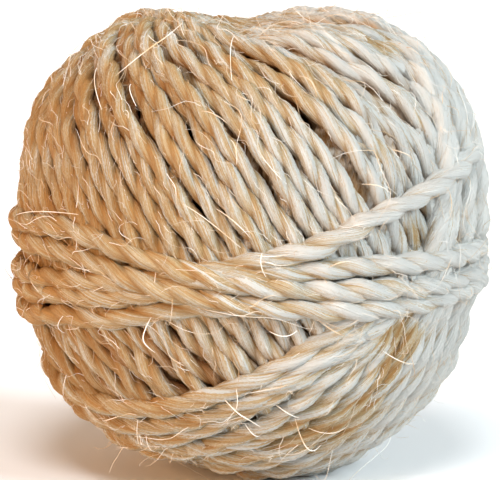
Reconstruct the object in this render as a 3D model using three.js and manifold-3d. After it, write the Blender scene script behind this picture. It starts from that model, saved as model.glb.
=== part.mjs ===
// A ball of natural two-ply sisal twine, wound by hand and standing on a small flat spot.
// Millimetres, +Z up. The front of the ball faces -Y and the origin is under its middle.
// The solid is the wound form: a round body with a ridge for each turn of its main layer,
// and over it the last turns: a belt round the waist, a turn that climbs across the front
// right, and a group of slanting turns below.
import * as THREE from "three";
import { mergeVertices } from "three/addons/utils/BufferGeometryUtils.js";
import Module from "manifold-3d";

// Driving sizes of the twine and the ball
const TWINE_DIAMETER = 3.8;
const CENTRE_HEIGHT = 41.9;
const TWINE_COLOUR = 0xd9bd92;
const TWINE_ROUGHNESS = 0.9;

// Outer radius of the ball's body, from its pole below to its pole above, every 15 degrees,
// on the left (-X) and on the right (+X). The poles are dimpled and the waist is drawn in.
const BODY_STEP = 15;
const BODY = [
  { latitude: -90, left: 43.0, right: 43.0 },
  { latitude: -75, left: 42.6, right: 43.2 },
  { latitude: -60, left: 43.0, right: 42.8 },
  { latitude: -45, left: 43.6, right: 41.9 },
  { latitude: -30, left: 43.6, right: 41.5 },
  { latitude: -15, left: 42.6, right: 41.3 },
  { latitude: 0, left: 41.9, right: 41.8 },
  { latitude: 15, left: 44.2, right: 43.6 },
  { latitude: 30, left: 47.0, right: 46.6 },
  { latitude: 45, left: 47.6, right: 46.8 },
  { latitude: 60, left: 47.2, right: 46.4 },
  { latitude: 75, left: 43.6, right: 43.0 },
  { latitude: 90, left: 39.5, right: 39.5 },
];

// The main layer: turns that lean over at one slope all round the ball
const MAIN_TURNS = 72;
const MAIN_LEAN = 31;
const MAIN_REACH = 71;
const MAIN_ROWS = 9;
const VALLEY_DEPTH = 0.95;
const SAMPLES_PER_TURN = 2;

// Rings that close each pole above the main layer's last row
const CAP_RINGS = [
  { share: 0.3, divisor: 4 },
  { share: 0.6, divisor: 12 },
];

// Turns that lie over the main layer. Each follows its own heights: azimuth and latitude
// in degrees about the ball's middle, where azimuth -90 is the front and 0 the right.
const TURN_STEPS = 32;
const TURN_SIDES = 6;
const BELT = {
  upper: {
    proud: 2.0,
    shown: [-180, 180],
    heights: [
      { azimuth: -164, latitude: 6.6 },
      { azimuth: -140, latitude: 7.4 },
      { azimuth: -118, latitude: 3.1 },
      { azimuth: -92, latitude: -2.6 },
      { azimuth: -60, latitude: -5.3 },
      { azimuth: -20, latitude: -5.4 },
      { azimuth: 40, latitude: -3 },
      { azimuth: 100, latitude: 1 },
      { azimuth: 155, latitude: 4 },
    ],
  },
  lower: {
    proud: 2.0,
    shown: [-180, 180],
    heights: [
      { azimuth: -160, latitude: 2.6 },
      { azimuth: -132, latitude: 0.6 },
      { azimuth: -104, latitude: -5.9 },
      { azimuth: -80, latitude: -9.0 },
      { azimuth: -20, latitude: -8.9 },
      { azimuth: 40, latitude: -7 },
      { azimuth: 100, latitude: -4 },
      { azimuth: 155, latitude: 0.5 },
    ],
  },
  crossing: {
    proud: 1.6,
    shown: [-172, -10],
    heights: [
      { azimuth: -148, latitude: -9.0 },
      { azimuth: -121, latitude: -6.8 },
      { azimuth: -96, latitude: -1.2 },
      { azimuth: -60, latitude: 0.4 },
      { azimuth: -20, latitude: 0.0 },
      { azimuth: 40, latitude: 1 },
      { azimuth: 100, latitude: -8 },
      { azimuth: 155, latitude: -9.5 },
    ],
  },
  climbing: {
    proud: 1.8,
    shown: [-172, 0],
    heights: [
      { azimuth: -153, latitude: -5.6 },
      { azimuth: -119, latitude: -3.4 },
      { azimuth: -90, latitude: 2.0 },
      { azimuth: -75, latitude: 5.6 },
      { azimuth: -60, latitude: 11.9 },
      { azimuth: -40, latitude: 18.0 },
      { azimuth: -10, latitude: 26.0 },
      { azimuth: 40, latitude: 29 },
      { azimuth: 100, latitude: 14 },
      { azimuth: 155, latitude: -4 },
    ],
  },
  lowest: {
    proud: 1.3,
    shown: [-178, -90],
    heights: [
      { azimuth: -150, latitude: -14.1 },
      { azimuth: -127, latitude: -13.3 },
      { azimuth: -106, latitude: -9.1 },
      { azimuth: -60, latitude: -7.4 },
      { azimuth: 0, latitude: -7.4 },
      { azimuth: 60, latitude: -10 },
      { azimuth: 130, latitude: -13 },
    ],
  },
};

// Slanting turns below the belt. Each lies in a plane, given by the azimuth and elevation
// of its normal and its distance from the ball's middle.
const SLANTED = [
  { azimuth: 35.7, elevation: -56.9, offset: 4.3, proud: 1.2, shown: [-180, -62] },
  { azimuth: 34.2, elevation: -51.6, offset: 5.4, proud: 1.2, shown: [-180, -62] },
  { azimuth: 37.0, elevation: -46.0, offset: 5.6, proud: 1.2, shown: [-180, -62] },
  { azimuth: 47.9, elevation: -34.7, offset: 0.5, proud: 0.9, shown: [-125, -45] },
  { azimuth: 48.3, elevation: -26.6, offset: 0.5, proud: 0.9, shown: [-120, -45] },
];

// Turns that pass over the dimple at the top, side by side, each shown above one latitude
const TOP = [
  { azimuth: 27, elevation: 0, offset: 11, proud: 0.9, above: 60 },
  { azimuth: 26, elevation: 0, offset: 5.5, proud: 0.9, above: 56 },
  { azimuth: 24, elevation: 0, offset: 0, proud: 0.9, above: 54 },
  { azimuth: 22, elevation: 0, offset: -5.5, proud: 0.9, above: 56 },
  { azimuth: 21, elevation: 0, offset: -11, proud: 0.9, above: 60 },
];

// A turn sinks into the body where it doesn't show, over this many degrees
const SINK_DEPTH = 3.2;
const SINK_SPAN = 10;

// The block that cuts the flat spot
const GROUND_SIZE = 120;

const { degToRad, radToDeg, clamp, smoothstep, euclideanModulo } = THREE.MathUtils;

/** The unit vector at an azimuth and latitude in degrees. */
function direction(azimuth, latitude) {
  const around = degToRad(azimuth);
  const up = degToRad(latitude);
  return new THREE.Vector3(
    Math.cos(up) * Math.cos(around),
    Math.cos(up) * Math.sin(around),
    Math.sin(up),
  );
}

/** The latitude of a unit vector, in degrees. */
function latitudeOf(unit) {
  return radToDeg(Math.asin(clamp(unit.z, -1, 1)));
}

/** A smooth value between b and c, with a and d as their outer neighbours. */
function blend(a, b, c, d, share) {
  const slopeB = (c - a) / 2;
  const slopeC = (d - b) / 2;
  const rise = c - b;
  const square = share * share;
  const cube = square * share;
  return b + slopeB * share + (3 * rise - 2 * slopeB - slopeC) * square
    + (slopeB + slopeC - 2 * rise) * cube;
}

/** The body's outer radius in a direction. */
function bodyRadius(unit) {
  const steps = (latitudeOf(unit) - BODY[0].latitude) / BODY_STEP;
  const row = clamp(Math.floor(steps), 0, BODY.length - 2);
  const rows = [row - 1, row, row + 1, row + 2].map((i) => BODY[clamp(i, 0, BODY.length - 1)]);
  const left = blend(...rows.map((entry) => entry.left), steps - row);
  const right = blend(...rows.map((entry) => entry.right), steps - row);
  return (left + right) / 2 + ((right - left) / 2) * unit.x;
}

/** The point of a main turn at an angle along it from the waist. */
function mainDirection(turnAzimuth, along) {
  const turn = degToRad(turnAzimuth);
  const lean = degToRad(MAIN_LEAN);
  const step = degToRad(along);
  const waist = new THREE.Vector3(Math.sin(turn), -Math.cos(turn), 0);
  const climb = new THREE.Vector3(
    -Math.sin(lean) * Math.cos(turn),
    -Math.sin(lean) * Math.sin(turn),
    Math.cos(lean),
  );
  return waist.multiplyScalar(Math.cos(step)).addScaledVector(climb, Math.sin(step));
}

/** Places a direction at a radius about the ball's middle. */
function place(unit, radius) {
  return unit.clone().multiplyScalar(radius).add(new THREE.Vector3(0, 0, CENTRE_HEIGHT));
}

/** Joins a ring of points to the next one, which has a whole fraction of its points. */
function stitch(indices, wide, narrow, upward) {
  const ratio = wide.length / narrow.length;
  const add = (a, b, c) => indices.push(...(upward ? [a, b, c] : [b, a, c]));
  for (let i = 0; i < narrow.length; i += 1) {
    const next = (i + 1) % narrow.length;
    for (let k = 0; k < ratio; k += 1) {
      const a = wide[i * ratio + k];
      const b = wide[(i * ratio + k + 1) % wide.length];
      const turned = k >= ratio / 2;
      add(a, b, turned ? narrow[next] : narrow[i]);
      if (!turned && k + 1 >= ratio / 2 && narrow.length > 1) {
        add(b, narrow[next], narrow[i]);
      }
    }
  }
}

/** The rows of the ridged main layer, from its lowest to its highest. */
function addMainRows(points, indices) {
  const columns = MAIN_TURNS * SAMPLES_PER_TURN;
  const rows = [];
  for (let j = 0; j <= MAIN_ROWS; j += 1) {
    const along = -MAIN_REACH + (2 * MAIN_REACH * j) / MAIN_ROWS;
    const depth = VALLEY_DEPTH * Math.cos(degToRad(along));
    const row = [];
    for (let i = 0; i < columns; i += 1) {
      const unit = mainDirection((360 * i) / columns, along);
      const valley = i % SAMPLES_PER_TURN === 0 ? depth : 0;
      row.push(points.length);
      points.push(place(unit, bodyRadius(unit) - valley));
    }
    rows.push(row);
  }
  for (let j = 0; j < MAIN_ROWS; j += 1) {
    for (let i = 0; i < columns; i += 1) {
      const next = (i + 1) % columns;
      const [a, b, c, d] = [rows[j][i], rows[j][next], rows[j + 1][next], rows[j + 1][i]];
      indices.push(a, b, c, a, c, d);
    }
  }
  return rows;
}

/** Closes one pole, from the main layer's last row inwards. */
function addPole(points, indices, edge, pole) {
  const axis = new THREE.Vector3(0, 0, pole);
  const middle = new THREE.Vector3(0, 0, CENTRE_HEIGHT);
  let outer = edge;
  for (const ring of CAP_RINGS) {
    const count = edge.length / ring.divisor;
    const inner = [];
    for (let i = 0; i < count; i += 1) {
      const from = points[edge[i * ring.divisor]].clone().sub(middle).normalize();
      const unit = from.lerp(axis, ring.share).normalize();
      inner.push(points.length);
      points.push(place(unit, bodyRadius(unit)));
    }
    stitch(indices, outer, inner, pole > 0);
    outer = inner;
  }
  points.push(place(axis, bodyRadius(axis)));
  stitch(indices, outer, [points.length - 1], pole > 0);
}

/** A closed geometry from its points and triangles. */
function geometryOf(points, indices) {
  const geometry = new THREE.BufferGeometry();
  const values = points.flatMap((point) => [point.x, point.y, point.z]);
  geometry.setAttribute("position", new THREE.Float32BufferAttribute(values, 3));
  geometry.setIndex(indices);
  return geometry;
}

/** The wound body: ridged where the main layer lies and plain at its two poles. */
function bodyGeometry() {
  const points = [];
  const indices = [];
  const rows = addMainRows(points, indices);
  addPole(points, indices, rows[0], -1);
  addPole(points, indices, rows[MAIN_ROWS], 1);
  return geometryOf(points, indices);
}

/** How far outside the range where it shows a turn is, in degrees. */
function beyond(unit, turn) {
  if (turn.above !== undefined) {
    return turn.above - latitudeOf(unit);
  }
  const azimuth = radToDeg(Math.atan2(unit.y, unit.x));
  const [from, to] = turn.shown;
  if (azimuth >= from && azimuth <= to) {
    return 0;
  }
  const apart = (a, b) => Math.abs(euclideanModulo(a - b + 180, 360) - 180);
  return Math.min(apart(azimuth, from), apart(azimuth, to));
}

/** A whole turn of twine through unit directions, lifted so that it stands proud of the body. */
function turnGeometry(directions, turn) {
  const middles = directions.map((unit) => {
    const sink = SINK_DEPTH * smoothstep(beyond(unit, turn), 0, SINK_SPAN);
    return place(unit, bodyRadius(unit) + turn.proud - sink - TWINE_DIAMETER / 2);
  });
  const count = middles.length;
  const points = [];
  const indices = [];
  for (let i = 0; i < count; i += 1) {
    const along = middles[(i + 1) % count].clone().sub(middles[(i + count - 1) % count]).normalize();
    const side = along.clone().cross(directions[i]).normalize();
    const out = side.clone().cross(along);
    for (let k = 0; k < TURN_SIDES; k += 1) {
      const angle = (2 * Math.PI * k) / TURN_SIDES;
      const point = middles[i].clone();
      point.addScaledVector(out, (Math.cos(angle) * TWINE_DIAMETER) / 2);
      point.addScaledVector(side, (Math.sin(angle) * TWINE_DIAMETER) / 2);
      points.push(point);
      const [row, nextRow] = [i * TURN_SIDES, ((i + 1) % count) * TURN_SIDES];
      const next = (k + 1) % TURN_SIDES;
      indices.push(row + k, row + next, nextRow + next, row + k, nextRow + next, nextRow + k);
    }
  }
  return geometryOf(points, indices);
}

/** The directions of a turn that follows a table of heights. */
function beltDirections(turn) {
  const stops = turn.heights.map((stop) => direction(stop.azimuth, stop.latitude));
  const curve = new THREE.CatmullRomCurve3(stops, true);
  return curve.getSpacedPoints(TURN_STEPS).slice(0, TURN_STEPS).map((point) => point.normalize());
}

/** The directions of a turn that lies in a plane. */
function slantedDirections(turn) {
  const normal = direction(turn.azimuth, turn.elevation);
  const first = new THREE.Vector3(0, 0, 1).cross(normal).normalize();
  const second = normal.clone().cross(first);
  const height = turn.offset / CENTRE_HEIGHT;
  const radius = Math.sqrt(1 - height * height);
  const directions = [];
  for (let i = 0; i < TURN_STEPS; i += 1) {
    const angle = (2 * Math.PI * i) / TURN_STEPS;
    directions.push(
      normal.clone().multiplyScalar(height)
        .addScaledVector(first, radius * Math.cos(angle))
        .addScaledVector(second, radius * Math.sin(angle)),
    );
  }
  return directions;
}

const wasm = await Module();
wasm.setup();

/** A solid for joining and cutting, from a closed geometry. */
function solidOf(geometry) {
  const bare = geometry.clone();
  bare.deleteAttribute("normal");
  bare.deleteAttribute("uv");
  const merged = mergeVertices(bare);
  return new wasm.Manifold(new wasm.Mesh({
    numProp: 3,
    vertProperties: new Float32Array(merged.attributes.position.array),
    triVerts: new Uint32Array(merged.index.array),
  }));
}

/** The triangles joined to one corner point of a solid, without the sealed gaps under its turns. */
function outerTriangles(count, corners, start) {
  const touching = Array.from({ length: count }, () => []);
  for (let i = 0; i < corners.length; i += 1) {
    touching[corners[i]].push(Math.floor(i / 3));
  }
  const taken = new Set();
  const waiting = [start];
  const seen = new Uint8Array(count);
  seen[start] = 1;
  while (waiting.length > 0) {
    for (const triangle of touching[waiting.pop()]) {
      taken.add(triangle);
      for (const corner of corners.subarray(triangle * 3, triangle * 3 + 3)) {
        if (seen[corner] === 0) {
          seen[corner] = 1;
          waiting.push(corner);
        }
      }
    }
  }
  return [...taken].sort((a, b) => a - b);
}

/** A mesh geometry of a solid's outer surface. */
function geometryOfSolid(solid) {
  const mesh = solid.getMesh();
  const count = mesh.vertProperties.length / 3;
  let farthest = 0;
  for (let i = 1; i < count; i += 1) {
    farthest = mesh.vertProperties[i * 3] > mesh.vertProperties[farthest * 3] ? i : farthest;
  }
  const triangles = outerTriangles(count, mesh.triVerts, farthest);
  const geometry = new THREE.BufferGeometry();
  geometry.setAttribute("position", new THREE.BufferAttribute(mesh.vertProperties, 3));
  geometry.setIndex(triangles.flatMap((i) => [...mesh.triVerts.subarray(i * 3, i * 3 + 3)]));
  return geometry;
}

/** The whole ball: its body, the turns over it and the flat spot that it stands on. */
function ballGeometry() {
  let ball = solidOf(bodyGeometry());
  for (const turn of Object.values(BELT)) {
    ball = ball.add(solidOf(turnGeometry(beltDirections(turn), turn)));
  }
  for (const turn of [...SLANTED, ...TOP]) {
    ball = ball.add(solidOf(turnGeometry(slantedDirections(turn), turn)));
  }
  const ground = new THREE.BoxGeometry(GROUND_SIZE, GROUND_SIZE, GROUND_SIZE);
  ground.translate(0, 0, -GROUND_SIZE / 2);
  const geometry = geometryOfSolid(ball.subtract(solidOf(ground)));
  geometry.computeBoundingBox();
  const middle = geometry.boundingBox.getCenter(new THREE.Vector3());
  return geometry.translate(-middle.x, -middle.y, 0);
}

const ball = new THREE.Mesh(
  ballGeometry(),
  new THREE.MeshStandardMaterial({
    color: TWINE_COLOUR,
    roughness: TWINE_ROUGHNESS,
    metalness: 0,
  }),
);
ball.name = "twine_ball";

const part = new THREE.Group();
part.add(ball);

export default part;
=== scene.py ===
"""A hand-wound ball of natural two-ply sisal twine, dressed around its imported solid.

Every turn of the twine is laid in winding order: turns under the surface, turns over the top,
the main layer that leans to the left, the slanting turns below, and the last turns round the
waist. Each turn beds on what lies under it, and a node tree spins the two plies along its path.

Azimuths and latitudes are in degrees. The front is at azimuth -90 and the right at 0. Lengths
are in millimetres where nothing else is said.
"""

import logging
import math
from dataclasses import dataclass, field, replace
from enum import Enum
from typing import Iterable, Union

import bpy
import numpy as np
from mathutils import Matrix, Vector


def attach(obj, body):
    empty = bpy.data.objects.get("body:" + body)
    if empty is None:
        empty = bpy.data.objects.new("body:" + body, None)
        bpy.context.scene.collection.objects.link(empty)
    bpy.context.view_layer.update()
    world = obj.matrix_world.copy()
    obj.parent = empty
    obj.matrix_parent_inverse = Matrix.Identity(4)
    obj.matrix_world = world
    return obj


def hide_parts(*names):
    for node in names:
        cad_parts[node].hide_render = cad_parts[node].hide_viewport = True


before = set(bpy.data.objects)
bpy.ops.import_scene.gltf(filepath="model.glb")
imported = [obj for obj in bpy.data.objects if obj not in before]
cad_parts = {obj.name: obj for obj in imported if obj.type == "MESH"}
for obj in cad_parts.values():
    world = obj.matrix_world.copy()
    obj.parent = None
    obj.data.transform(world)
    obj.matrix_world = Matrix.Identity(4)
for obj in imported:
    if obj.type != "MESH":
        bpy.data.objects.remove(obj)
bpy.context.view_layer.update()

LOG = logging.getLogger("twine_ball")
MM = 0.001
NODE = "twine_ball"
BODY = "root"

MEAN_RADIUS = 41.9
TURN_POINTS = 300
ALL_ROUND = (-181.0, 181.0)
ALL_LATITUDES = (-91.0, 91.0)

Colour = tuple[float, float, float]
Stop = tuple[float, float]
Given = Union["Value", float, int, bool, str, tuple]

# The longest stray fibres: azimuth and latitude of the stops along each, in degrees.
STRAYS: tuple[tuple[Stop, ...], ...] = (
    ((-162.7, 7.9), (-147.6, 10.9), (-132.7, 11.3)),
    ((-130.0, 41.5), (-121.6, 46.7), (-116.8, 51.0), (-119.5, 59.2)),
    ((-97.1, 58.2), (-97.4, 50.7), (-95.4, 42.0)),
    ((-105.7, 15.3), (-100.1, 12.7), (-92.5, 6.0)),
    ((-97.9, 14.4), (-93.6, 12.0), (-90.3, 8.2)),
    ((-140.4, 43.5), (-135.1, 38.8), (-130.2, 33.8)),
    ((-124.0, 40.1), (-122.4, 37.8), (-119.9, 35.0)),
    ((-114.0, -10.9), (-115.3, -13.8), (-115.1, -16.6), (-113.9, -19.4)),
    ((-141.2, -13.1), (-142.5, -15.2), (-142.1, -17.5)),
    ((-88.6, 4.3), (-85.5, 4.0), (-82.0, 4.4)),
    ((-64.2, 19.0), (-60.4, 18.4), (-56.4, 16.5)),
    ((-74.3, -11.3), (-70.5, -13.9), (-66.5, -15.9)),
    ((-85.8, -13.5), (-82.3, -14.8), (-79.3, -13.5)),
    ((-56.0, -20.1), (-50.2, -23.3), (-42.0, -25.2)),
    ((-98.5, -29.6), (-94.3, -33.0), (-90.4, -35.5), (-86.9, -40.9)),
    ((-95.3, -35.4), (-93.0, -31.8), (-93.9, -28.4)),
    ((-84.1, -32.6), (-79.6, -34.4), (-76.2, -37.7)),
    ((-77.4, -37.7), (-75.0, -43.0), (-69.2, -48.3), (-65.2, -48.7)),
    ((-72.2, -41.8), (-64.3, -43.4), (-57.8, -42.1)),
    ((-91.9, -39.4), (-88.7, -42.3), (-86.8, -43.1)),
    ((-124.9, -38.8), (-128.2, -44.6), (-134.2, -51.9)),
    ((-125.6, -44.2), (-126.6, -48.4), (-126.6, -52.1)),
    ((-61.6, -7.5), (-64.0, -10.3), (-66.8, -13.0)),
    ((-94.8, 28.4), (-93.0, 26.4), (-93.4, 23.5)),
    ((-87.7, 4.9), (-88.6, 2.5), (-86.8, -0.6)),
    ((-93.9, 38.7), (-91.8, 36.0), (-90.4, 37.3)),
    ((-102.4, 34.5), (-98.8, 33.3), (-95.9, 32.0)),
    ((-161.8, -37.3), (-147.6, -31.4), (-147.0, -28.6)),
    ((-113.3, -5.9), (-111.7, -3.1), (-112.6, -0.4)),
    ((-72.4, 1.2), (-70.6, 2.9), (-67.2, 2.3)),
    ((-76.8, 42.8), (-74.0, 41.0), (-73.2, 37.6)),
    ((-55.7, 25.5), (-53.4, 23.8), (-49.9, 23.2)),
)


class Layer(Enum):
    """Where a turn lies in the winding, from the inside out."""

    UNDER = "under"
    TOP = "top"
    MAIN = "main"
    SLANTED = "slanted"
    BELT = "belt"


@dataclass(frozen=True)
class Twine:
    """The twine's own sizes.

    Attributes:
        ply_radius: radius of one ply.
        ply_spread: distance from the twine's axis to a ply's axis.
        bedding_radius: radius at which a turn touches its neighbours.
        lay: length of one full twist of the plies.
        step: distance between two sections along a turn.
        ruffle: depth of its uneven surface.
    """

    ply_radius: float = 1.38
    ply_spread: float = 0.5
    bedding_radius: float = 1.6
    lay: float = 13.8
    step: float = 0.95
    ruffle: float = 0.25


def unit_direction(azimuth: float, latitude: float) -> np.ndarray:
    """The unit vector at an azimuth and a latitude."""
    around, up = math.radians(azimuth), math.radians(latitude)
    return np.array([math.cos(up) * math.cos(around), math.cos(up) * math.sin(around),
                     math.sin(up)])


def unit_rows(vectors: np.ndarray) -> np.ndarray:
    """The rows of an array, each made one unit long."""
    return vectors / np.linalg.norm(vectors, axis=1, keepdims=True)


def smooth_step(share: np.ndarray) -> np.ndarray:
    """Shares from 0 to 1, eased at both ends."""
    return share * share * (3 - 2 * share)


def cubic(start: np.ndarray, end: np.ndarray, leave: np.ndarray, arrive: np.ndarray,
          share: np.ndarray) -> np.ndarray:
    """A smooth curve between two values or points.

    Args:
        start: where it starts.
        end: where it ends.
        leave: its slope at the start.
        arrive: its slope at the end.
        share: how far along it is read, 0 to 1.

    Returns:
        The values or points.
    """
    rise = end - start
    return (start + leave * share + (3 * rise - 2 * leave - arrive) * share**2
            + (leave + arrive - 2 * rise) * share**3)


def blurred(values: np.ndarray, taps: np.ndarray) -> np.ndarray:
    """Blurs a closed row of values.

    Args:
        values: the row.
        taps: the weight of each neighbour, from behind to ahead.

    Returns:
        The blurred row.
    """
    half = len(taps) // 2
    return sum(tap * np.roll(values, k - half) for k, tap in enumerate(taps)) / taps.sum()


def loop_noise(count: int, waves: tuple[int, ...], rng: np.random.Generator) -> np.ndarray:
    """A smooth random curve that closes on itself.

    Args:
        count: number of values.
        waves: how many waves each part of it has round the loop.
        rng: the source of chance.

    Returns:
        Values that spread about 1 either side of 0.
    """
    place = np.linspace(0, 2 * np.pi, count, endpoint=False)
    total = np.zeros(count)
    for wave in waves:
        total += rng.normal() * np.cos(wave * place) + rng.normal() * np.sin(wave * place)
    return total / math.sqrt(len(waves))


def even_loop(points: np.ndarray, count: int) -> np.ndarray:
    """Spaces a closed row of points evenly along itself.

    Args:
        points: the closed row, without its first point repeated.
        count: number of points wanted.

    Returns:
        The evenly spaced points.
    """
    closed = np.vstack([points, points[:1]])
    along = np.concatenate([[0], np.cumsum(np.linalg.norm(np.diff(closed, axis=0), axis=1))])
    wanted = np.linspace(0, along[-1], count, endpoint=False)
    return np.stack([np.interp(wanted, along, closed[:, k]) for k in range(3)], axis=1)


@dataclass(frozen=True)
class BallForm:
    """The ball's outer form, as in the solid: radii by latitude on its left and right.

    Attributes:
        centre_height: height of the ball's middle above the surface it stands on.
        sideways: how far the middle lies to the right.
        saddle_depth: depth of the shallow saddle over the top, from front to back.
        saddle_place: where the saddle runs, to the right of the middle.
        saddle_width: half width of the saddle.
        saddle_from: latitude at which the saddle starts.
        saddle_fade: over how many degrees it comes to its full depth.
        row_step: degrees of latitude between two rows.
        left: radii on the left from the lower to the upper pole.
        right: radii on the right from the lower to the upper pole.
    """

    centre_height: float = MEAN_RADIUS
    sideways: float = 0.45
    saddle_depth: float = 2.6
    saddle_place: float = -2.0
    saddle_width: float = 9.0
    saddle_from: float = 42.0
    saddle_fade: float = 22.0
    row_step: float = 15.0
    left: tuple[float, ...] = (
        43.0, 42.6, 43.0, 43.6, 43.6, 42.6, 41.9, 44.2, 47.0, 47.6, 47.2, 43.6, 39.5,
    )
    right: tuple[float, ...] = (
        43.0, 43.2, 42.8, 41.9, 41.5, 41.3, 41.8, 43.6, 46.6, 46.8, 46.4, 43.0, 39.5,
    )

    def middle(self) -> np.ndarray:
        """The ball's middle."""
        return np.array([self.sideways, 0.0, self.centre_height])

    def _row_value(self, radii: tuple[float, ...], latitude: np.ndarray) -> np.ndarray:
        """Reads a smooth radius from a row of radii.

        Args:
            radii: one radius for each row of latitude.
            latitude: latitudes in degrees.

        Returns:
            The radii at those latitudes.
        """
        rows = np.asarray(radii)
        last = len(rows) - 1
        steps = np.clip((latitude + 90.0) / self.row_step, 0, last)
        row = np.clip(np.floor(steps).astype(int), 0, last - 1)
        before, start, end, after = (rows[np.clip(row + k, 0, last)] for k in (-1, 0, 1, 2))
        return cubic(start, end, (end - before) / 2, (after - start) / 2, steps - row)

    def radius(self, units: np.ndarray) -> np.ndarray:
        """The form's outer radius in each direction.

        Args:
            units: unit directions, one a row.

        Returns:
            The radii.
        """
        latitude = np.degrees(np.arcsin(np.clip(units[:, 2], -1, 1)))
        left = self._row_value(self.left, latitude)
        right = self._row_value(self.right, latitude)
        whole = (left + right) / 2 + (right - left) / 2 * units[:, 0]
        across = (whole * units[:, 0] - self.saddle_place) / self.saddle_width
        rise = np.clip((latitude - self.saddle_from) / self.saddle_fade, 0, 1)
        return whole - self.saddle_depth * np.exp(-across**2) * smooth_step(rise)


@dataclass
class Turn:
    """One turn of the twine round the ball.

    Attributes:
        layer: where it lies in the winding.
        path: unit directions from the ball's middle along the closed turn.
        press: height of its axis over what it lies on, in bedding radii.
        shown: azimuths from and to which it lies on the surface, then latitudes from and
            to which it does; elsewhere it dives below its neighbours.
        thickness: its thickness against the twine's usual one.
        heights: height of its axis over the core, set as it is wound.
    """

    layer: Layer
    path: np.ndarray
    press: float
    shown: tuple[float, float, float, float] = (*ALL_ROUND, *ALL_LATITUDES)
    thickness: float = 1.0
    heights: np.ndarray = field(default_factory=lambda: np.zeros(0))

    @staticmethod
    def in_plane(layer: Layer, azimuth: float, elevation: float, offset: float = 0.0,
                 press: float = 0.15) -> "Turn":
        """A turn that lies in a plane.

        Args:
            layer: where it lies in the winding.
            azimuth: azimuth of the plane's normal.
            elevation: elevation of the plane's normal.
            offset: distance of the plane from the ball's middle.
            press: height of its axis over what it lies on, in bedding radii.

        Returns:
            The turn.
        """
        normal = unit_direction(azimuth, elevation)
        first = np.cross([0.0, 0.0, 1.0], normal)
        first /= np.linalg.norm(first)
        second = np.cross(normal, first)
        height = offset / MEAN_RADIUS
        ring = math.sqrt(1 - height * height)
        angle = np.linspace(0, 2 * np.pi, TURN_POINTS, endpoint=False)[:, None]
        path = normal * height + ring * (first * np.cos(angle) + second * np.sin(angle))
        return Turn(layer, path, press)

    @staticmethod
    def through(layer: Layer, stops: tuple[Stop, Stop, Stop], press: float) -> "Turn":
        """A turn in the plane of three points of the ball's surface.

        Args:
            layer: where it lies in the winding.
            stops: azimuth and latitude of each point.
            press: height of its axis over what it lies on, in bedding radii.

        Returns:
            The turn.
        """
        first, second, third = (unit_direction(*stop) for stop in stops)
        normal = np.cross(second - first, third - first)
        normal /= np.linalg.norm(normal)
        azimuth = math.degrees(math.atan2(normal[1], normal[0]))
        elevation = math.degrees(math.asin(normal[2]))
        offset = float(normal @ first) * MEAN_RADIUS
        return Turn.in_plane(layer, azimuth, elevation, offset, press)

    @staticmethod
    def round_stops(layer: Layer, stops: tuple[Stop, ...], press: float) -> "Turn":
        """A turn that runs smoothly through stops all round the ball.

        Args:
            layer: where it lies in the winding.
            stops: azimuth and latitude of each stop, azimuths rising.
            press: height of its axis over what it lies on, in bedding radii.

        Returns:
            The turn.
        """
        points_a_stop = 40
        knots = np.array([unit_direction(*stop) for stop in stops])
        share = np.linspace(0, 1, points_a_stop, endpoint=False)[:, None]
        pieces = []
        for k in range(len(knots)):
            a, b, c, d = (knots[(k + j) % len(knots)] for j in (-1, 0, 1, 2))
            before, here, after = (np.linalg.norm(q - p) ** 0.5
                                   for p, q in ((a, b), (b, c), (c, d)))
            leave = here * ((b - a) / before - (c - a) / (before + here)) + (c - b)
            arrive = here * ((d - c) / after - (d - b) / (here + after)) + (c - b)
            pieces.append(cubic(b, c, leave, arrive, share))
        return Turn(layer, even_loop(unit_rows(np.vstack(pieces)), TURN_POINTS), press)

    def carried(self, over: float, below: float) -> "Turn":
        """Carries the stretches where the turn would turn back on towards the poles.

        Args:
            over: how far its highest stretch is moved, as a share of the radius.
            below: how far its lowest stretch is moved.

        Returns:
            The same turn.
        """
        width, past = math.radians(28.0), math.radians(20.0)
        centre = self.path.mean(axis=0)
        normal = np.cross(self.path[0] - centre, self.path[len(self.path) // 4] - centre)
        normal *= math.copysign(1.0, normal[2]) / np.linalg.norm(normal)
        summit = unit_rows(np.array([[0.0, 0.0, 1.0]]) - normal[2] * normal)[0]
        beyond = summit * math.cos(past) + np.cross(summit, normal) * math.sin(past)
        distance = np.arccos(np.clip(self.path @ beyond, -1, 1))
        shift = (over * np.exp(-(distance / width) ** 2)
                 - below * np.exp(-((math.pi - distance) / width) ** 2))
        self.path = unit_rows(self.path + normal * shift[:, None])
        return self

    def wobble(self, sideways: float, rng: np.random.Generator) -> "Turn":
        """Moves the path a little from side to side, as hand winding does.

        Args:
            sideways: spread of the movement.
            rng: the source of chance.

        Returns:
            The same turn.
        """
        along = unit_rows(np.roll(self.path, -1, axis=0) - np.roll(self.path, 1, axis=0))
        side = np.cross(along, self.path)
        shift = sideways / MEAN_RADIUS * loop_noise(len(self.path), (2, 5, 9, 14), rng)
        self.path = unit_rows(self.path + side * shift[:, None])
        return self

    def hidden_share(self) -> np.ndarray:
        """How far each point of the path lies outside the stretch that shows.

        Returns:
            A share from 0 to 1 for each point.
        """
        margin = 14.0
        first, last, bottom, top = self.shown
        latitude = np.degrees(np.arcsin(np.clip(self.path[:, 2], -1, 1)))
        azimuth = np.degrees(np.arctan2(self.path[:, 1], self.path[:, 0]))
        azimuth = first + np.mod(azimuth - first, 360.0)
        aside = np.minimum(azimuth - last, first + 360.0 - azimuth)
        beyond = np.maximum.reduce([aside, bottom - latitude, latitude - top])
        return smooth_step(np.clip(beyond / margin, 0, 1))


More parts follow.
